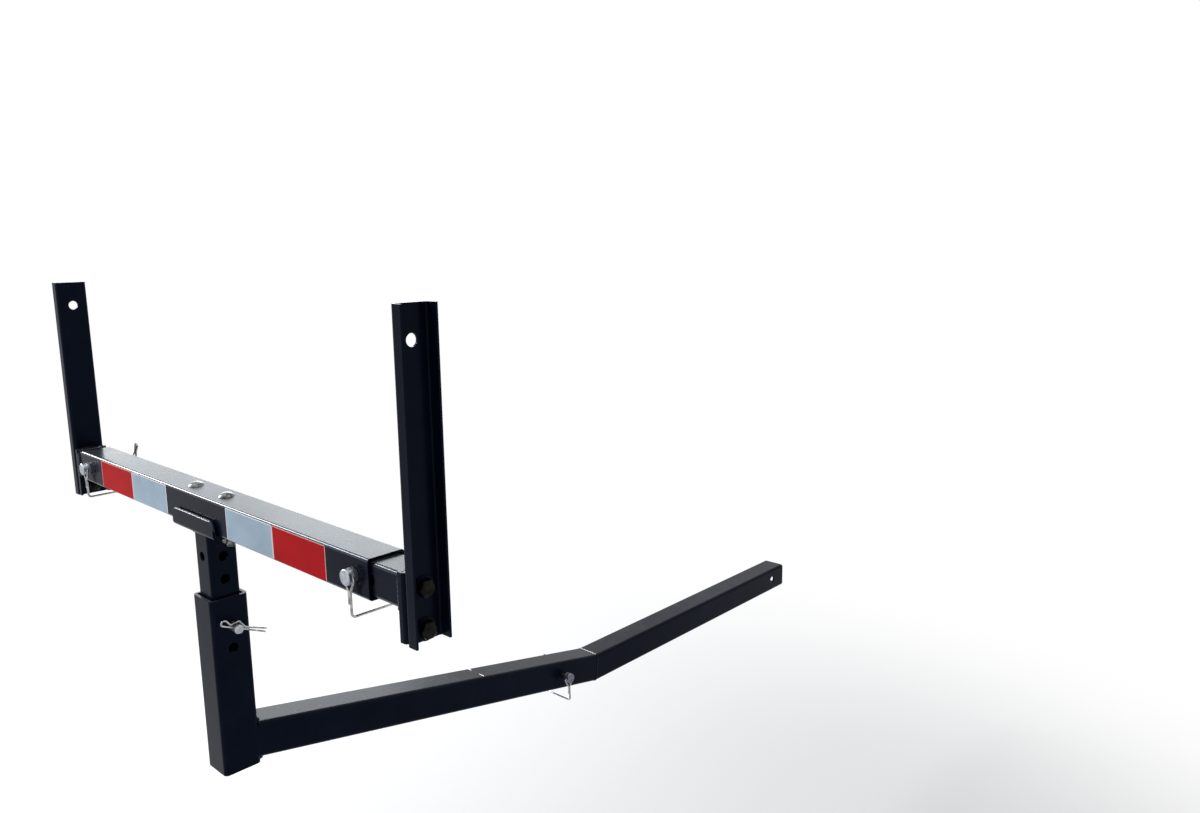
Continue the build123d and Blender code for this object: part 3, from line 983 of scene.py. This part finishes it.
@dataclass
class SubAssembly:
    """Pieces that Blender adds to one CAD body.

    Attributes:
        paint: the finishes.
        made: each new piece with its finish and the record's slot that the finish stands for.
    """

    paint: Paintwork
    made: list[tuple[Piece, Material, str]] = field(default_factory=list)

    @property
    def body(self) -> str:
        """The CAD body that these pieces move with."""
        raise NotImplementedError

    def add(self, piece: Piece, material: Material, slot: str = "black_coat") -> None:
        """Notes a new piece, its finish and the record's slot that the finish stands for."""
        self.made.append((piece, material, slot))

    def build(self) -> None:
        """Makes the sub-assembly's pieces."""
        raise NotImplementedError

    def finish(self) -> None:
        """Dresses each piece, rides it on the body and reports it."""
        for piece, material, slot in self.made:
            dress(piece, material)
            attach(piece, self.body)
            LOG.info("piece %s on %s: %d faces", piece.name, self.body, len(piece.data.polygons))


@dataclass
class BaseRun(SubAssembly):
    """Shank, stub, base tube and sleeve: beads at the mitre and the sleeve, and the butt seam.

    Attributes:
        mitre_y: where the tube bends up.
        rise: how steeply it rises to the post.
        stub: length of the inclined tube before the butt seam.
        tube: the tube's outer size.
        corner: its corner radius.
        mitre_bead: height and half width of the mitre's bead.
        seam_line: height and half width of the butt seam's line.
        ridge_lift: how far a painted highlight ridge's foot stands over the tube.
        ridge_height: height of a painted highlight ridge.
        mitre_ridge: half width of the mitre's painted highlight ridge, and how far it stays in
            from the tube's sides, as a share of the corner.
        seam_ridge: half width of the seam's painted highlight ridges.
        seam_spans: start and end of each of them along X.
        sleeve_pitch: spacing of the puddles on the beads at the sleeve.
        sleeve_legs: height of the sleeve's upper and lower bead.
        sleeve_stretch: their length along the tube, as a share of their height.
        sleeve_inset: how far they stay in from the tube's sides, as a share of the corner.
        fill_height: height of the ground weld in the sleeve's grooves.
        fill_depth: how far its foot lies inside the tube's side.
        fill_ripple: how far its puddles stand over the dips, as a share of its height.
        fill_shares: its half width, its distance from the base tube's end, and how far its ends
            stay in from the top and bottom, as shares of the corner.
    """

    mitre_y: float = -614.2 * MM
    rise: float = math.radians(11.8)
    stub: float = 284 * MM
    tube: float = 50.8 * MM
    corner: float = 6 * MM
    mitre_bead: tuple[float, float] = (0.7 * MM, 2.2 * MM)
    seam_line: tuple[float, float] = (0.15 * MM, 0.5 * MM)
    ridge_lift: float = 0.4 * MM
    ridge_height: float = 0.5 * MM
    mitre_ridge: tuple[float, float] = (0.8 * MM, 0.7)
    seam_ridge: float = 0.7 * MM
    seam_spans: tuple[tuple[float, float], ...] = ((-20 * MM, -11 * MM), (8 * MM, 21 * MM))
    sleeve_pitch: float = 3.4 * MM
    sleeve_legs: tuple[float, float] = (4.5 * MM, 5.5 * MM)
    sleeve_stretch: float = 1.2
    sleeve_inset: float = 0.6
    fill_height: float = 1.0 * MM
    fill_depth: float = 0.8 * MM
    fill_ripple: float = 0.1
    fill_shares: tuple[float, float, float] = (0.6, 0.45, 0.5)

    @property
    def body(self) -> str:
        """The base."""
        return "base"

    @property
    def sleeve_foot(self) -> tuple[float, float]:
        """Y of the base tube's end at the sleeve, and Z of its middle there."""
        face_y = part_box("base_tube")[0].y
        return face_y, (self.mitre_y - face_y) * math.tan(self.rise)

    def ring(self, bead: WeldBead, name: str, centre: Vector, tilt: float,
             size: tuple[float, float]) -> Piece:
        """Bead over a seam all round the tube, in a plane that leans back from the vertical.

        Args:
            bead: the bead to lay.
            name: the bead's name.
            centre: middle of the ring.
            tilt: lean of the seam's plane.
            size: the bead's height and half width.

        Returns:
            The bead.
        """
        across, tall = Vector((1, 0, 0)), Vector((0, math.sin(tilt), math.cos(tilt)))
        height = self.tube / math.cos(self.rise - tilt)
        outline, normals = rounded_square(self.tube, height, self.corner, OUTLINE_STEP)
        basis = np.array([across, tall])
        line = np.array(centre) + outline @ basis
        side = np.array(across.cross(tall))
        return bead.sweep(name, line, normals @ basis, side, *size, closed=True)

    def sleeve_bead(self, name: str, up: float, leg: float) -> Piece:
        """Fillet across the tube where it meets the sleeve.

        Args:
            name: the bead's name.
            up: 1 for the bead on top of the tube, -1 for the one below.
            leg: the bead's height.

        Returns:
            The bead.
        """
        y, middle_z = self.sleeve_foot
        z = middle_z + up * self.tube / 2 / math.cos(self.rise)
        x = self.tube / 2 - self.sleeve_inset * self.corner
        along = (0, math.cos(self.rise), -math.sin(self.rise))
        bead = WeldBead(pitch=self.sleeve_pitch)
        return bead.straight(name, (-x, y, z), (x, y, z), along, (0, 0, up),
                             self.sleeve_stretch * leg, leg)

    def groove_fill(self, side: Side) -> Piece:
        """Weld ground nearly flush in the groove between the sleeve's round corner and the tube.

        Args:
            side: which side of the tube.

        Returns:
            The fill.
        """
        half_width, offset, inset = (share * self.corner for share in self.fill_shares)
        face_y, z = self.sleeve_foot
        reach = self.tube / 2 / math.cos(self.rise) - inset
        x, y = side.value * (self.tube / 2 - self.fill_depth), face_y - offset
        bead = WeldBead(Section.BUTT, pitch=self.sleeve_pitch, ripple=self.fill_ripple)
        return bead.straight(f"sleeve_{side.word}_weld", (x, y, z - reach), (x, y, z + reach),
                             (side.value, 0, 0), (0, 1, 0), self.fill_height, half_width)

    def painted_glint_ridges(self, at: Vector, tilt: float, spans: tuple[tuple[float, float], ...],
                    width: float) -> list[Piece]:
        """Painted highlight: near-white ridges across the top of a seam, where light glints.

        Args:
            at: middle of the tube at the seam.
            tilt: lean of the seam's plane.
            spans: start and end of each ridge along X.
            width: half of a ridge's width.

        Returns:
            The ridges.
        """
        tall = np.array([0, math.sin(tilt), math.cos(tilt)])
        along = np.array([0, math.cos(tilt), -math.sin(tilt)])
        lift = self.tube / 2 / math.cos(self.rise - tilt) + self.ridge_lift
        top = np.array(at) + tall * lift
        bead = WeldBead(Section.BUTT, pitch=1 * MM, ripple=0.05)
        return [bead.straight("ridge", top + [start, 0, 0], top + [end, 0, 0], tall, along,
                              self.ridge_height, width) for start, end in spans]

    def build(self) -> None:
        """Makes the mitre's bead, the seam, their painted highlight ridges, and the weld at the
        sleeve.
        """
        mitre_at, mitre_tilt = Vector((0, self.mitre_y, 0)), self.rise / 2
        seam_at = Vector((0, self.mitre_y - self.stub * math.cos(self.rise),
                          self.stub * math.sin(self.rise)))
        self.add(self.ring(WeldBead(Section.BUTT), "mitre_weld", mitre_at, mitre_tilt,
                           self.mitre_bead), self.paint.weld)
        self.add(self.ring(WeldBead(Section.BUTT, ripple=0.02, sink=0.2 * MM), "tube_seam",
                           seam_at, self.rise, self.seam_line), self.paint.weld)
        width, inset = self.mitre_ridge
        edge = self.tube / 2 - inset * self.corner
        ridges = self.painted_glint_ridges(mitre_at, mitre_tilt, ((-edge, edge),), width)
        ridges += self.painted_glint_ridges(seam_at, self.rise, self.seam_spans, self.seam_ridge)
        # Painted highlight: the near-white ridges stand in for light glinting on the seams.
        self.add(group("seam_painted_glints", ridges), self.paint.painted_glint)
        upper, lower = self.sleeve_legs
        self.add(self.sleeve_bead("sleeve_top_weld", 1.0, upper), self.paint.weld)
        self.add(self.sleeve_bead("sleeve_bottom_weld", -1.0, lower), self.paint.weld)
        for side in Side:
            self.add(self.groove_fill(side), self.paint.coat)


@dataclass
class PostGroup(SubAssembly):
    """Inner post, saddle and crossbar: a bead, thick coat on edges and corners, and threads.

    Attributes:
        post_corner: corner radius of the inner post.
        leg: size of the bead under the saddle.
        bolt_x: distance of each bolt from the middle.
        plate: thickness of the saddle's side plates.
        plate_corner: radius of their upper corners.
        edge_height: how far the coat's thick edge stands over a plate.
        turn_points: points round one of a plate's upper corners.
        bar_corner: corner radius of the crossbar.
    """

    post_corner: float = 4.5 * MM
    leg: float = 3.6 * MM
    bolt_x: float = 42 * MM
    plate: float = 5 * MM
    plate_corner: float = 10 * MM
    edge_height: float = 1.4 * MM
    turn_points: int = 12
    bar_corner: float = 4.05 * MM

    @property
    def body(self) -> str:
        """The sliding post."""
        return "post"

    def saddle_bead(self) -> Piece:
        """Fillet between the post's sides and the saddle: a ring round the post's top.

        Returns:
            The bead.
        """
        low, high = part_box("inner_post")
        size = high - low
        outline, normals = rounded_square(size.x, size.y, self.post_corner, OUTLINE_STEP)
        level = np.eye(3)[:2]
        centre = np.array([(low.x + high.x) / 2, (low.y + high.y) / 2, high.z])
        return WeldBead().sweep("saddle_weld", centre + outline @ level, normals @ level,
                                np.array([0, 0, -1.0]), self.leg, self.leg, closed=True)

    def plate_edge(self, name: str, y: float) -> Piece:
        """Rounded coat along a side plate's upper edge and both its corners.

        The path runs up one end, round a corner whose points are
        centre + radius * (cos a, sin a), along the top, and down again, and the outward
        direction is (cos a, sin a), level or upright on the straight runs.

        Args:
            name: the edge's name.
            y: middle of the plate's thickness.

        Returns:
            The edge.
        """
        low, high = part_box("saddle")
        first = np.linspace(math.pi, math.pi / 2, self.turn_points)
        second = np.linspace(math.pi / 2, 0, self.turn_points)
        a = np.concatenate([[math.pi], first, second, [0.0]])
        ray = np.stack([np.cos(a), np.zeros_like(a), np.sin(a)], axis=1)
        ray[np.abs(ray) < ROUNDING] = 0.0
        side = np.where(np.arange(len(a)) < len(a) // 2, -1.0, 1.0)
        centre = np.stack([side * (high.x - self.plate_corner), np.full_like(a, y),
                           np.full_like(a, high.z - self.plate_corner)], axis=1)
        centre[[0, -1], 2] = (low.z + high.z) / 2
        smooth = WeldBead(Section.BUTT, ripple=0.0)
        return smooth.sweep(name, centre + self.plate_corner * ray, ray, np.array([0, 1.0, 0]),
                            self.edge_height, self.plate / 2)

    def build(self) -> None:
        """Makes the bead, the thick coat on plate edges and rolled corners, and the threads."""
        self.add(self.saddle_bead(), self.paint.weld)
        low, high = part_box("saddle")
        self.add(self.plate_edge("saddle_front_edge", low.y + self.plate / 2), self.paint.edge)
        self.add(self.plate_edge("saddle_back_edge", high.y - self.plate / 2), self.paint.edge)
        corners = RolledCorner(self.bar_corner).strips("crossbar_corners", "crossbar")
        self.add(corners, self.paint.edge)
        low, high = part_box("saddle_nuts")
        y = ((low + high) / 2).y
        ridges = [ScrewThread().ridge(Vector((side.value * self.bolt_x, y, low.z)),
                                      Vector((0, 0, -1))) for side in Side]
        self.add(group("saddle_bolt_threads", ridges), self.paint.zinc, "zinc_plate")


@dataclass
class SideArm(SubAssembly):
    """Arm, bracket and upright of one side: the bracket's beads, coat on corners, and threads.

    Attributes:
        side: which end of the crossbar.
        leg: size of the beads.
        pitch: spacing of their puddles.
        ripple: how far their puddles stand over the dips, as a share of the bead's size.
        inset: how far the beads stay in from the arm's corners.
        corner_legs: size of the beads in the flanges' grooves, as shares of the leg.
        end_legs: how far the beads across the arm reach past its end, and their height, as
            shares of the leg.
        lump: how far the flanges' beads hang below the arm.
        sheet: thickness of the bracket's sheet.
        arm_corner: corner radius of the arm.
        nut_flat: distance from a nut's middle to its flats.
    """

    side: Side = Side.LEFT
    leg: float = 3.2 * MM
    pitch: float = 4.4 * MM
    ripple: float = 0.42
    inset: float = 1.5 * MM
    corner_legs: tuple[float, float] = (1.5, 1.2)
    end_legs: tuple[float, float] = (2.0, 0.8)
    lump: float = 4 * MM
    sheet: float = 2.5 * MM
    arm_corner: float = 4.5 * MM
    nut_flat: float = 8.5 * MM

    @property
    def body(self) -> str:
        """The side's arm and all it carries."""
        return self.side.word + "_side"

    def bead(self, word: str, start: Point, end: Point, one: Point, two: Point,
             first: float, second: float) -> None:
        """Lays one of the bracket's beads and notes it.

        Args:
            word: the bead's name without its side.
            start: the line's start.
            end: the line's end.
            one: first direction.
            two: second direction.
            first: bead size along the first direction.
            second: bead size along the second direction.
        """
        made = WeldBead(pitch=self.pitch, ripple=self.ripple).straight(
            f"{self.side.word}_{word}", start, end, one, two, first, second)
        self.add(made, self.paint.edge)

    def build(self) -> None:
        """Makes the beads round the arm's end, the coat on the arm's corners, and the threads.

        One bead runs down each flange's edge and one along the groove at each flange's top, and
        one runs across above and one below the arm.
        """
        word, sign = self.side.word, self.side.value
        arm_low, arm_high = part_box(self.side.word + "_arm")
        low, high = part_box(self.side.word + "_bracket")
        edge_x, web_x = (low.x, high.x - self.sheet) if sign > 0 else (high.x, low.x + self.sheet)
        end_x = arm_high.x if sign > 0 else arm_low.x
        inward, upper_z = (-sign, 0, 0), arm_high.z - self.inset
        along_groove, over_groove = (share * self.leg for share in self.corner_legs)
        past_end, over_arm = (share * self.leg for share in self.end_legs)
        for name, y, out in (("front", arm_low.y, -1), ("back", arm_high.y, 1)):
            self.bead(name + "_weld", (edge_x, y, arm_low.z - self.lump), (edge_x, y, upper_z),
                      inward, (0, out, 0), self.leg, self.sheet)
            self.bead(name + "_corner_weld", (edge_x - sign * self.inset, y, upper_z),
                      (web_x, y, upper_z), (0, -out, 0), (0, 0, 1), along_groove, over_groove)
        for name, z, out in (("top", arm_high.z, 1), ("bottom", arm_low.z, -1)):
            self.bead(name + "_weld", (web_x, arm_low.y + self.inset, z),
                      (web_x, arm_high.y - self.inset, z), inward, (0, 0, out),
                      abs(web_x - end_x) + past_end, over_arm)
        corners = RolledCorner(self.arm_corner).strips(word + "_arm_corners", word + "_arm")
        self.add(corners, self.paint.edge)
        self.add(self.threads(), self.paint.black_bolt, "black_oxide")

    def threads(self) -> Piece:
        """Thread on the ends of both bolts, inside the bracket.

        Returns:
            The ridges as one piece.
        """
        low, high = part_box(self.side.word + "_upright_nuts")
        x, y = low.x if self.side is Side.RIGHT else high.x, (low.y + high.y) / 2
        ridges = [ScrewThread().ridge(Vector((x, y, z)), Vector((-self.side.value, 0, 0)))
                  for z in (low.z + self.nut_flat, high.z - self.nut_flat)]
        return group(self.side.word + "_bolt_threads", ridges)


@dataclass
class NodeFinishes:
    """Which finish each CAD node wears.

    Attributes:
        paint: the finishes.
    """

    paint: Paintwork

    def choose(self, node: str) -> Material:
        """The finish of one node.

        Args:
            node: the node's name.

        Returns:
            Its material.
        """
        fastener = any(word in node for word in ("bolts", "washers", "nuts"))
        choices = (
            (node == "red_panels", self.paint.sheets[PanelColour.RED]),
            (node == "silver_panels", self.paint.sheets[PanelColour.SILVER]),
            (node.endswith("upright_washers"), self.paint.coat),
            (fastener and "upright" in node, self.paint.black_bolt),
            (fastener, self.paint.zinc),
            ("bail" in node or "clip" in node, self.paint.wire),
            # The base's lock pin wears the darker copy of the pin steel: painted shade.
            (node == "base_lock_pin", self.paint.shaded_pin),
            ("lock_pin" in node or node == "post_pin", self.paint.pin),
        )
        return next((material for fits, material in choices if fits), self.paint.coat)

    def apply(self, nodes: dict[str, Piece]) -> None:
        """Dresses every CAD node.

        Args:
            nodes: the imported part's objects by node name.
        """
        for name, node in sorted(nodes.items()):
            dress(node, self.choose(name))
            LOG.info("node %s wears %s", name, node.data.materials[0].name)


# Studio and camera


@dataclass(frozen=True)
class Lamp:
    """Rectangular area lamp that the camera doesn't see.

    Attributes:
        name: the lamp's name.
        place: where it hangs.
        width: its width.
        height: its height.
        power: its power in watts.
        colour: its light's colour.
        lean: degrees that it is turned about its line of sight.
    """

    name: str
    place: Point
    width: float
    height: float
    power: float
    colour: Colour = (1.0, 1.0, 1.0)
    lean: float = 0.0

    def hang(self, target: Vector) -> None:
        """Makes the lamp and turns it to a point.

        Args:
            target: the point that it faces.
        """
        data = bpy.data.lights.new(self.name, "AREA")
        data.shape = "RECTANGLE"
        data.size = self.width
        data.size_y = self.height
        data.energy = self.power
        data.color = self.colour
        place = Vector(self.place)
        roll = Matrix.Rotation(math.radians(self.lean), 3, "Z").to_quaternion()
        turn = (target - place).to_track_quat("-Z", "Y") @ roll
        lamp = link(self.name, data)
        lamp.matrix_world = Matrix.LocRotScale(place, turn, None)
        lamp.visible_camera = False


SKY = (0.9, 0.955, 1.0)

LAMPS = (
    # A strip on the left, leaning so that the tubes' top edges mirror it along their length.
    Lamp("key", (-3.0, -2.29, 2.02), 0.5, 1.8, 95.0, lean=-32.0),
    # A wide soft sheet overhead, and another in front on the left.
    Lamp("top", (0.0, -0.8, 3.4), 3.2, 3.2, 12.0),
    Lamp("fill", (-1.0, -4.2, 1.6), 2.6, 2.6, 20.0),
    # Panels behind on the left: the top faces mirror the low one, the nearer of them the other.
    Lamp("back", (-3.5, 0.6, 1.6), 2.5, 2.2, 56.0, SKY),
    Lamp("high", (-3.25, 1.35, 2.35), 1.7, 1.0, 34.0, SKY),
)


@dataclass
class Studio:
    """Pale floor, white surround and soft lamps.

    Attributes:
        middle: the point that the lamps face.
        floor_z: the floor's height, below the hitch pin hole.
        floor_half: half of the floor's edge length.
        floor_middle: the point from which the floor's distances are taken, in X and Y.
        floor_tone: colour of the plain floor.
        near: radius inside which the floor is plain and takes shadow.
        far: radius past which the floor is as white as the surround.
        ambient: strength of the surround's light for diffuse rays.
    """

    middle: Point = (0, -0.8, 0.3)
    floor_z: float = -0.43
    floor_half: float = 14.0
    floor_middle: tuple[float, float] = (0, -0.9)
    floor_tone: Colour = (0.9, 0.9, 0.905)
    near: float = 0.75
    far: float = 2.1
    ambient: float = 0.35

    def floor(self) -> None:
        """Pale plane that turns to the surround's white with distance from the part."""
        mesh = bpy.data.meshes.new("floor")
        corners = np.array([[-1, -1], [1, -1], [1, 1], [-1, 1]]) * self.floor_half
        places = np.column_stack([corners, np.full(4, self.floor_z)])
        mesh.from_pydata(places.tolist(), [], [(0, 1, 2, 3)])
        floor = link("floor", mesh)
        graph = ShaderGraph.new("pale_floor")
        plain = graph.node("BsdfDiffuse")
        plain.inputs["Color"].default_value = (*self.floor_tone, 1.0)
        away = graph.node("VectorMath", operation="DISTANCE")
        graph.join(graph.object_point(), away.inputs[0])
        away.inputs[1].default_value = (*self.floor_middle, self.floor_z)
        faded = graph.fade(away.outputs["Value"], self.near, self.far, "SMOOTHERSTEP")
        white = graph.node("Emission")
        mix = graph.node("MixShader")
        graph.join(graph.math("MULTIPLY", faded, self.seen_ray(graph)), mix.inputs[0])
        graph.join(plain.outputs[0], mix.inputs[1])
        graph.join(white.outputs[0], mix.inputs[2])
        graph.join(mix.outputs[0], graph.node("OutputMaterial").inputs["Surface"])
        dress(floor, graph.material)

    def seen_ray(self, graph: ShaderGraph) -> Socket:
        """1 for rays that show the background: camera, glossy and transmission rays.

        Args:
            graph: the tree to add it to.

        Returns:
            The value's socket.
        """
        path = graph.node("LightPath")
        seen = graph.math("MAXIMUM", path.outputs["Is Camera Ray"], path.outputs["Is Glossy Ray"])
        return graph.math("MAXIMUM", seen, path.outputs["Is Transmission Ray"])

    def world(self) -> None:
        """Soft grey light for diffuse rays, white for the rays that show the background."""
        world = bpy.data.worlds.new("surround")
        bpy.context.scene.world = world
        world.use_nodes = True
        world.node_tree.nodes.clear()
        graph = ShaderGraph(world)
        background = graph.node("Background")
        background.inputs["Color"].default_value = (1.0, 1.0, 1.0, 1.0)
        strength = graph.spread(self.seen_ray(graph), self.ambient, 1.0)
        graph.join(strength, background.inputs["Strength"])
        graph.join(background.outputs[0], graph.node("OutputWorld").inputs["Surface"])

    def build(self) -> None:
        """Makes the floor and the surround, and hangs the lamps."""
        self.floor()
        self.world()
        for lamp in LAMPS:
            lamp.hang(Vector(self.middle))


@dataclass
class PhotoCamera:
    """The photograph's viewpoint, fitted to the part's edges and holes.

    Attributes:
        place: camera position.
        yaw: turn to the left of +Y, in degrees.
        pitch: tilt below the horizon, in degrees.
        roll: turn about the line of sight, in degrees.
        focal_px: focal length in pixels of the photograph's width.
        sensor: sensor width in millimetres.
        clip: nearest and farthest distance that it sees.
    """

    place: Point = (1.16227, -1.83645, 0.802)
    yaw: float = 42.5
    pitch: float = 10.14
    roll: float = -0.76
    focal_px: float = 941.44
    sensor: float = 36.0
    clip: tuple[float, float] = (0.01, 60.0)

    def build(self) -> None:
        """Makes the camera from its look, right and up directions."""
        yaw, pitch, roll = (math.radians(a) for a in (self.yaw, self.pitch, self.roll))
        look = Vector((-math.sin(yaw) * math.cos(pitch), math.cos(yaw) * math.cos(pitch),
                       -math.sin(pitch)))
        level = Vector((math.cos(yaw), math.sin(yaw), 0))
        over = level.cross(look)
        right = level * math.cos(roll) + over * math.sin(roll)
        up = over * math.cos(roll) - level * math.sin(roll)
        data = bpy.data.cameras.new("camera")
        data.sensor_fit = "HORIZONTAL"
        data.sensor_width = self.sensor
        data.lens = self.focal_px * self.sensor / PHOTO_WIDTH
        data.clip_start, data.clip_end = self.clip
        camera = link("camera", data)
        turn = Matrix((right, up, -look)).transposed()
        camera.matrix_world = Matrix.LocRotScale(Vector(self.place), turn.to_quaternion(), None)
        bpy.context.scene.camera = camera


def main() -> None:
    """Builds the part's looks, the studio and the camera, in that order."""
    logging.basicConfig(level=logging.INFO, format="%(message)s")
    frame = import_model()
    paint = Paintwork()
    NodeFinishes(paint).apply(frame["nodes"])
    arms = [SideArm(paint, side=side) for side in Side]
    for part in (BaseRun(paint), PostGroup(paint), *arms):
        part.build()
        part.finish()
    Studio().build()
    PhotoCamera().build()
    bpy.context.scene.view_settings.view_transform = "Standard"


if __name__ == "__main__":
    main()
